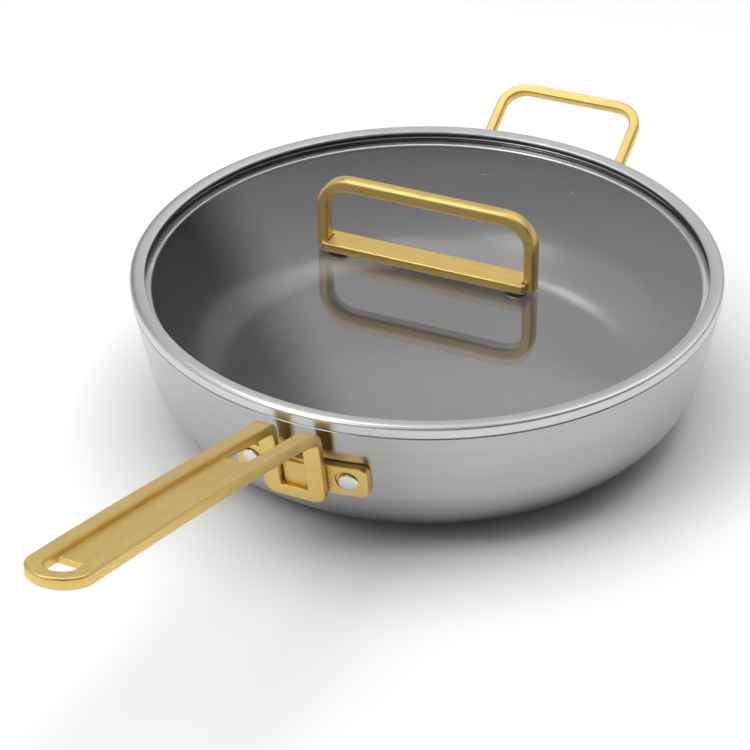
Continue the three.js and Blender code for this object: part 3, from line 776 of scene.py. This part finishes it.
BEND_X = wall_radius(BEND_HEIGHT, LEG_BACK)
BOW_START = Vector((BEND_X + RAIL_STRAIGHT, BEND_HEIGHT + RAIL_STRAIGHT * math.tan(RAIL_RISE)))
BOW_HALF = (HANDLE_TIP - BOW_START.x) / 2
BOW_MIDDLE = BOW_START.y + BOW_HALF * math.tan(RAIL_RISE)


def rail_height(x):
    """Height of the rails' upper face: straight from the bend, then bowed to the tip."""
    if x < BOW_START.x:
        return BOW_START.y + (x - BOW_START.x) * math.tan(RAIL_RISE)
    share = (x - BOW_START.x) / (2 * BOW_HALF)
    back = 1 - share
    return back * back * BOW_START.y + 2 * share * back * BOW_MIDDLE + share * share * HANDLE_TIP_HEIGHT


def bend_points(out, drop, radius):
    """The bend between a face of the leg and a face of the rail: points of its arc, from the rail down."""
    rise = math.tan(RAIL_RISE)
    lean = math.tan(TAPER)
    height = (BEND_HEIGHT - drop + (wall_radius(0, out) - BEND_X) * rise) / (1 - lean * rise)
    corner = Vector((wall_radius(height, out), height))
    down = Vector((-math.sin(TAPER), -math.cos(TAPER)))
    along = Vector((math.cos(RAIL_RISE), math.sin(RAIL_RISE)))
    return fillet(corner, down, along, radius, BEND_STEPS)[::-1]


def handle_stations():
    """Pairs of points on the upper and lower face from the tip to the foot, with the run along them."""
    upper_bend = bend_points(LEG_BACK, 0, BEND_OUTSIDE)
    lower_bend = bend_points(LEG_FRONT, RAIL_DEPTH, BEND_INSIDE)
    pairs = []
    for k in range(RAIL_STEPS):
        share = k / RAIL_STEPS
        high = HANDLE_TIP + (upper_bend[0][0] - HANDLE_TIP) * share
        low = HANDLE_TIP + (lower_bend[0][0] - HANDLE_TIP) * share
        pairs.append(((high, rail_height(high)), (low, rail_height(low) - RAIL_DEPTH)))
    pairs += zip(upper_bend, lower_bend)
    for k in range(1, LEG_STEPS + 1):
        share = k / LEG_STEPS
        high = upper_bend[-1][1] + (LEG_BOTTOM - upper_bend[-1][1]) * share
        low = lower_bend[-1][1] + (LEG_BOTTOM - lower_bend[-1][1]) * share
        pairs.append(((wall_radius(high, LEG_BACK), high), (wall_radius(low, LEG_FRONT), low)))
    middles = [Vector(((high[0] + low[0]) / 2, (high[1] + low[1]) / 2)) for high, low in pairs]
    runs = [HANDLE_TIP - middle.x for middle in middles[:RAIL_STEPS + 1]]
    for before, here in zip(middles[RAIL_STEPS:], middles[RAIL_STEPS + 1:]):
        runs.append(runs[-1] + (here - before).length)
    return runs, pairs


RUNS, PAIRS = handle_stations()


def station(run):
    """The points on the upper and lower face at a run from the tip."""
    run = max(RUNS[0], min(RUNS[-1], run))
    k = 0
    while k < len(RUNS) - 2 and RUNS[k + 1] < run:
        k += 1
    share = (run - RUNS[k]) / (RUNS[k + 1] - RUNS[k])
    high = Vector(PAIRS[k][0]).lerp(Vector(PAIRS[k + 1][0]), share)
    low = Vector(PAIRS[k][1]).lerp(Vector(PAIRS[k + 1][1]), share)
    return high, low


def on_handle(run, y, depth):
    """A point at a depth below the upper face."""
    high, low = station(run)
    spot = high + (low - high) * (depth / RAIL_DEPTH)
    return (spot.x, y, spot.y)


def run_at_height(height):
    """The run on the leg at a height above the base."""
    for run, (high, low) in zip(reversed(RUNS), reversed(PAIRS)):
        if (high[1] + low[1]) / 2 >= height:
            return run
    return RUNS[-1]


def handle_outline():
    """The frame laid flat: rounded tip at run 0, widening to the shield and its rounded foot."""
    side = []
    for k in range(BLEND_STEPS + 1):
        share = k / BLEND_STEPS
        ease = share * share * (3 - 2 * share)
        run = HANDLE_TIP - SHIELD_BLEND_END + (SHIELD_BLEND_END - SHIELD_BLEND_START) * share
        side.append((run, HANDLE_HALF + (SHIELD_HALF - HANDLE_HALF) * ease))
    foot = RUNS[-1] - SHIELD_CORNER
    wide = SHIELD_HALF - SHIELD_CORNER
    outline = arc(HANDLE_HALF, 0, HANDLE_HALF, QUARTER, 3 * QUARTER, steps=40)
    outline += [(run, -y) for run, y in side]
    outline += arc(foot, -wide, SHIELD_CORNER, -QUARTER, 0, steps=10)
    outline += arc(foot, wide, SHIELD_CORNER, 0, QUARTER, steps=10)
    return outline + side[::-1]


def handle_opening():
    """The space between the rails, from the hanging slot to the foot bar."""
    foot = run_at_height(FOOT_BAR_TOP) - WINDOW_CORNER
    wide = GAP_HALF - WINDOW_CORNER
    opening = arc(HANDLE_HALF, 0, GAP_HALF, QUARTER, 3 * QUARTER, steps=28)
    opening += arc(foot, -wide, WINDOW_CORNER, -QUARTER, 0, steps=6)
    return opening + arc(foot, wide, WINDOW_CORNER, 0, QUARTER, steps=6)


def handle_panel():
    """The sunk panel between the rails, from the hanging slot to the gap, reaching into both rails."""
    start = HANDLE_TIP - SLOT_START
    end = HANDLE_TIP - GAP_END + GAP_CORNER
    over = GAP_HALF + WEB_OVERLAP
    wide = GAP_HALF - GAP_CORNER
    panel = [(start, -over), (end, -over)]
    panel += arc(end, -wide, GAP_CORNER, -QUARTER, -math.pi, steps=6)
    panel += arc(end, wide, GAP_CORNER, math.pi, QUARTER, steps=6)
    return panel + [(end, over), (start, over)]


def long_handle():
    outline, opening, panel = (spread(line, longest=2.5)
                               for line in (handle_outline(), handle_opening(), handle_panel()))
    rails = slab(outline, [opening], 0, RAIL_DEPTH, RAIL_EDGE, on_handle, grid=3)
    web = slab(panel, [], WEB_RECESS, RAIL_DEPTH - WEB_LIFT, WEB_EDGE, on_handle, grid=3)
    return joined(rails, web)


build("handle_frame", long_handle(), "pan", [HANDLE_GOLD], ["long_handle"])


# Helper handle: a U of bar, level at the wall and rising from the knee

def on_helper(run, y, depth):
    """A point at a depth below the upper face, at a run outwards from the knee."""
    if run < -HELPER_BEND:
        turn = 0
        x = HELPER_KNEE + run
        z = HELPER_ROOT_TOP
    elif run > HELPER_BEND:
        turn = HELPER_TILT
        x = HELPER_KNEE + run * math.cos(turn)
        z = HELPER_ROOT_TOP + run * math.sin(turn)
    else:
        turn = HELPER_TILT * (run + HELPER_BEND) / (2 * HELPER_BEND)
        x = HELPER_KNEE - HELPER_BEND + HELPER_KNEE_RADIUS * math.sin(turn)
        z = HELPER_ROOT_TOP + HELPER_KNEE_RADIUS * (1 - math.cos(turn))
    return (-(x + depth * math.sin(turn)), y, z - depth * math.cos(turn))


def helper():
    root = -HELPER_ROOT
    corners = []
    for inwards, sign in ((0, -1), (HELPER_BAR, 1)):
        half = sign * (HELPER_HALF - inwards)
        far = HELPER_REACH - inwards
        corner = HELPER_CORNER - inwards
        corners += [(root, half, 0), (far, half, corner), (far, -half, corner), (root, -half, 0)]
    line = spread(rounded(corners, steps=16), longest=2)
    return slab(line, [], 0, HELPER_DEPTH, HELPER_EDGE, on_helper, grid=1.6)


build("helper_loop", helper(), "pan", [CROSS_GOLD], ["helper_handle"])


# Lid

def rim_ring():
    """Crowned ring with a lip over the seal, a shelf under it and a skirt that drops into the pan."""
    foot = RIM_RADIUS - RING_FOOT_EDGE
    crown = RIM_RADIUS - CROWN_WIDTH
    crown_base = RING_TOP - CROWN_HEIGHT
    shelf_edge = (SHELF_TOP - SHELF_BOTTOM) / 2
    shelf_middle = (SHELF_TOP + SHELF_BOTTOM) / 2
    ring = [(SKIRT_OUTER, RING_BOTTOM), (foot - RING_FOOT_FLAT, RING_BOTTOM)]
    ring += arc(foot, RING_BOTTOM + RING_FOOT_EDGE, RING_FOOT_EDGE, -QUARTER, 0, steps=4)
    ring += [(RIM_RADIUS, RING_SIDE_TOP)]
    ring += [(crown + CROWN_WIDTH * math.cos(a), crown_base + CROWN_HEIGHT * math.sin(a))
             for a in CROWN_TURNS]
    ring += [(LIP_START - k * LIP_STEP, RING_TOP - fall) for k, fall in enumerate(LIP_FALLS)]
    ring += arc(LIP_INNER + LIP_EDGE, LIP_TOP - LIP_EDGE, LIP_EDGE, QUARTER, math.pi, steps=5)
    ring += [(LIP_INNER + LIP_UNDERCUT, LIP_UNDER), (CHANNEL_WALL, LIP_UNDER), (CHANNEL_WALL, SHELF_TOP)]
    ring += arc(SHELF_INNER + shelf_edge, shelf_middle, shelf_edge, QUARTER, 3 * QUARTER, steps=10)
    ring += [(SKIRT_OUTER - SKIRT_CHAMFER, SHELF_BOTTOM), (SKIRT_OUTER, SHELF_BOTTOM + SKIRT_CHAMFER)]
    return turned(ring)


def seal_ring():
    """U-shaped seal that wraps the edge of the glass."""
    top = LIP_UNDER - FIT_GAP
    over = GLASS_TOP + FIT_GAP
    under = GLASS_BOTTOM - FIT_GAP
    back = GLASS_RADIUS + FIT_GAP
    corners = [(SEAL_LOWER_INNER, SEAL_BOTTOM, SEAL_TOE_EDGE), (SEAL_OUTER, SEAL_BOTTOM, SEAL_EDGE)]
    corners += [(SEAL_OUTER, top, SEAL_EDGE), (SEAL_UPPER_INNER, top, SEAL_LIP_EDGE)]
    corners += [(SEAL_UPPER_INNER, over, SEAL_LIP_EDGE), (back, over, 0), (back, under, 0)]
    corners += [(SEAL_LOWER_INNER, under, SEAL_EDGE)]
    return turned(rounded(corners, steps=4))


def lying(x, y, z):
    """Leaves a plate level."""
    return (x, y, z)


def standing(y, z, x):
    """Stands a plate up across the lid."""
    return (x, y, z)


def glass_disc():
    holes = [circle(0, side, GLASS_HOLE, steps=32) for side in (-SCREW_SIDE, SCREW_SIDE)]
    return slab(circle(0, 0, GLASS_RADIUS, ROUND), holes, GLASS_BOTTOM, GLASS_TOP, GLASS_EDGE, lying)


def arch():
    """Bar that rises from the foot plate, over the middle of the lid and down again."""
    half, top = ARCH_INNER_HALF, ARCH_TOP - ARCH_BAR
    corner = ARCH_CORNER - ARCH_LEG
    corners = [(-ARCH_HALF, PLATE_BOTTOM, 0), (-half, PLATE_BOTTOM, 0)]
    corners += [(-half, top, corner), (half, top, corner)]
    corners += [(half, PLATE_BOTTOM, 0), (ARCH_HALF, PLATE_BOTTOM, 0)]
    corners += [(ARCH_HALF, ARCH_TOP, ARCH_CORNER), (-ARCH_HALF, ARCH_TOP, ARCH_CORNER)]
    line = spread(rounded(corners, steps=16), longest=4)
    return slab(line, [], -ARCH_DEPTH / 2, ARCH_DEPTH / 2, ARCH_EDGE, standing)


def foot_plate():
    """Plate with a notch at each end for a leg of the arch."""
    deep = PLATE_DEPTH / 2
    notch = ARCH_DEPTH / 2 + JOINT_GAP
    notch_end = ARCH_INNER_HALF - JOINT_GAP
    corners = [(-deep, -PLATE_HALF, PLATE_CORNER)]
    corners += [(-notch, -PLATE_HALF, NOTCH_CORNER), (-notch, -notch_end, 0)]
    corners += [(-x, y, radius) for x, y, radius in reversed(corners)]
    corners += [(-x, -y, radius) for x, y, radius in corners]
    return slab(rounded(corners, steps=6), [], PLATE_BOTTOM, PLATE_TOP, PLATE_EDGE, lying)


def pierced_disc(radius, low, high, hole_edge):
    """Spacer or washer with a hole for the screw."""
    corners = [(SCREW_HOLE, low, hole_edge), (radius, low, DISC_EDGE)]
    corners += [(radius, high, DISC_EDGE), (SCREW_HOLE, high, hole_edge)]
    return turned(rounded(corners, steps=4), SMALL_ROUND)


def screw():
    """Screw from below, with a round recess in its domed head."""
    section = [(radius, SCREW_HEAD_TOP - depth) for radius, depth in SCREW_DRIVE]
    section += domed(SCREW_HEAD, SCREW_HEAD_TOP, SCREW_HEAD_HEIGHT, SCREW_HEAD_TURNS)
    section += [(SCREW_SHANK, SCREW_HEAD_TOP), (SCREW_SHANK, SCREW_END), (0, SCREW_END)]
    return turned(section, SMALL_ROUND, closed=False)


build("rim_ring", rim_ring(), "lid", [RIM_STEEL], ["lid_rim"])
build("seal_ring", seal_ring(), "lid", [RUBBER], ["lid_seal"])
build("glass_disc", glass_disc(), "lid", [GLASS], ["lid_glass"])
build("arch", arch(), "lid", [CROSS_GOLD], ["lid_handle"])
build("foot_plate", foot_plate(), "lid", [CROSS_GOLD], ["lid_handle_plate"])
for end, side in (("left", -SCREW_SIDE), ("right", SCREW_SIDE)):
    seat = Matrix.Translation((0, side, 0))
    spacer = pierced_disc(SPACER_RADIUS, SPACER_BOTTOM, SPACER_TOP, 0)
    build(f"spacer_{end}", spacer, "lid", [RUBBER], [f"lid_spacer_{end}"], seat)
    washer = pierced_disc(WASHER_RADIUS, WASHER_BOTTOM, WASHER_TOP, WASHER_HOLE_EDGE)
    build(f"washer_{end}", washer, "lid", [BRIGHT_STEEL], [f"lid_washer_{end}"], seat)
    build(f"screw_{end}", screw(), "lid", [BRIGHT_STEEL], [f"lid_screw_{end}"], seat)


# Floor

FLOOR_SIDE = 12.0  # in metres
FLOOR_PARTS = 24
FLOOR_BOUNCED = (0.25, 0.25, 0.25, 1)  # its colour for light that has already bounced


def floor_material():
    """Near white, and darker for light that has already bounced, so the shadow under the pan stays deep."""
    n = Nodes("pale_floor")
    n.set(Roughness=0.9, Specular_IOR_Level=0.0)
    mottle = n.noise(n.place(), scale=3, detail=2)
    again = n.math("MINIMUM", n.add("ShaderNodeLightPath").outputs["Diffuse Depth"], 1.0)
    mix = n.add("ShaderNodeMix", data_type="RGBA")
    n.link(again, mix.inputs["Factor"])
    n.link(n.ramp(mottle, (0.89, 0.89, 0.89), (0.91, 0.91, 0.91)), mix.inputs["A"])
    mix.inputs["B"].default_value = FLOOR_BOUNCED
    n.drive("Base Color", mix.outputs["Result"])
    return n.material


def add_floor():
    form = Form()
    marks = [(k / FLOOR_PARTS - 0.5) * FLOOR_SIDE for k in range(FLOOR_PARTS + 1)]
    rows = [form.ring([(x, y, 0) for x in marks]) for y in marks]
    for one, two in zip(rows, rows[1:]):
        for k in range(FLOOR_PARTS):
            form.face([one[k], one[k + 1], two[k + 1], two[k]])
    mesh = bpy.data.meshes.new("floor")
    mesh.from_pydata(form.points, [], form.faces)
    mesh.materials.append(floor_material())
    floor = bpy.data.objects.new("floor", mesh)
    bpy.context.scene.collection.objects.link(floor)


add_floor()


# The studio round the object: a dim room, a low glow and a slanted panel behind, and two soft patches.
# A way is an azimuth and an elevation in degrees. A pair of limits is where a soft edge begins and ends,
# as the cosine of the angle to its way, or to straight up for a height.
STRAIGHT_UP = (0, 90)
ROOM = 0.11
GLOW = 0.75
GLOW_WAY = (203.6, 0)
GLOW_LIMITS = (-0.3, 0.3)
GLOW_HEIGHTS = (0.1, 0.4)
PANEL = 1.2
PANEL_WAY = (190, 45)
PANEL_LIMITS = (0.6, 0.75)
PANEL_HEIGHTS = (0.40, 0.56)
SLANT_WAY = (117.6, -29.6)
SLANT_LIMITS = (-0.2766, -0.2446)
PATCHES = (((277, 42), 0.6), ((335, 45), 0.4))  # way and strength
PATCH_LIMITS = (0.8, 0.92)


def studio():
    world = bpy.data.worlds.new("studio")
    world.use_nodes = True
    bpy.context.scene.world = world
    tree = world.node_tree
    background = tree.nodes["Background"]
    background.inputs["Color"].default_value = (1, 1, 1, 1)
    ray = tree.nodes.new("ShaderNodeTexCoord").outputs["Generated"]

    def towards(way):
        node = tree.nodes.new("ShaderNodeVectorMath")
        node.operation = "DOT_PRODUCT"
        a, e = (math.radians(angle) for angle in way)
        node.inputs[1].default_value = (math.cos(a) * math.cos(e), math.sin(a) * math.cos(e), math.sin(e))
        tree.links.new(ray, node.inputs[0])
        return node.outputs["Value"]

    def soft_edge(source, limits, low=0.0, high=1.0):
        return range_node(tree, source, limits, low, high, "SMOOTHSTEP")

    def times(one, two):
        return math_node(tree, "MULTIPLY", one, two)

    def plus(one, two):
        return math_node(tree, "ADD", one, two)

    up = towards(STRAIGHT_UP)
    glow = times(soft_edge(up, GLOW_HEIGHTS, GLOW, 0.0), soft_edge(towards(GLOW_WAY), GLOW_LIMITS))
    panel = times(soft_edge(towards(SLANT_WAY), SLANT_LIMITS), soft_edge(up, PANEL_HEIGHTS))
    panel = times(panel, soft_edge(towards(PANEL_WAY), PANEL_LIMITS))
    level = plus(plus(glow, ROOM), times(panel, PANEL))
    for way, strength in PATCHES:
        level = plus(level, soft_edge(towards(way), PATCH_LIMITS, 0.0, strength))
    tree.links.new(level, background.inputs["Strength"])


studio()


# Lamps, in metres and watts

LAMP_AIM = Vector((0.0, 0.0, 0.05))


def area_light(name, spot, side, watts):
    """Square lamp turned to the pan."""
    lamp = bpy.data.lights.new(name, "AREA")
    lamp.shape = "SQUARE"
    lamp.size = side
    lamp.energy = watts
    holder = bpy.data.objects.new(name, lamp)
    back = (Vector(spot) - LAMP_AIM).normalized()
    holder.matrix_world = Matrix.Translation(spot) @ back.to_track_quat("Z", "Y").to_matrix().to_4x4()
    bpy.context.scene.collection.objects.link(holder)
    return holder


area_light("back", (-0.64, -0.54, 1.24), side=0.24, watts=2.8).visible_diffuse = False  # only gloss
area_light("top", (0.0, 0.0, 1.8), side=2.6, watts=9)
area_light("overhead", (0.0, 0.0, 1.6), side=1.4, watts=13.5).visible_glossy = False  # no mirror image
area_light("key", (1.11, -0.64, 1.53), side=0.8, watts=7.5)


# The photograph's camera, round the middle of the ring's top

PIXELS = 750
FOCAL_PIXELS = 2426
SENSOR = 36
CAMERA_CLIP = 50  # in metres
CAMERA_DISTANCE = 8.2 * RIM_RADIUS
CAMERA_TURN = math.radians(246.4)
CAMERA_TILT = math.radians(30.45)
CAMERA_YAW = math.radians(-1.21)
CAMERA_PITCH = math.radians(2.68)
CAMERA_ROLL = math.radians(-0.06)


def photo_camera():
    """Where the camera stands: tilted down at the ring, then turned off it by yaw, pitch and roll."""
    spot = Vector((0, -math.cos(CAMERA_TILT), math.sin(CAMERA_TILT))) * (CAMERA_DISTANCE * MM)
    forward = -spot.normalized()
    right = Vector((1, 0, 0))
    aim = Matrix.Rotation(CAMERA_ROLL, 3, "Z") @ Matrix.Rotation(CAMERA_PITCH, 3, "X")
    aim = aim @ Matrix.Rotation(CAMERA_YAW, 3, "Y") @ Matrix((right, right.cross(forward), -forward))
    to_object = Matrix.Rotation(-CAMERA_TURN, 3, "Z")
    place = to_object @ spot + Vector((0, 0, RING_TOP * MM))
    return Matrix.Translation(place) @ (to_object @ aim.transposed()).to_4x4()


camera = bpy.data.cameras.new("camera")
camera.sensor_width = SENSOR
camera.lens = FOCAL_PIXELS / PIXELS * SENSOR
camera.clip_end = CAMERA_CLIP
viewer = bpy.data.objects.new("camera", camera)
viewer.matrix_world = photo_camera()
bpy.context.scene.collection.objects.link(viewer)
bpy.context.scene.camera = viewer
bpy.context.scene.view_settings.view_transform = "Standard"
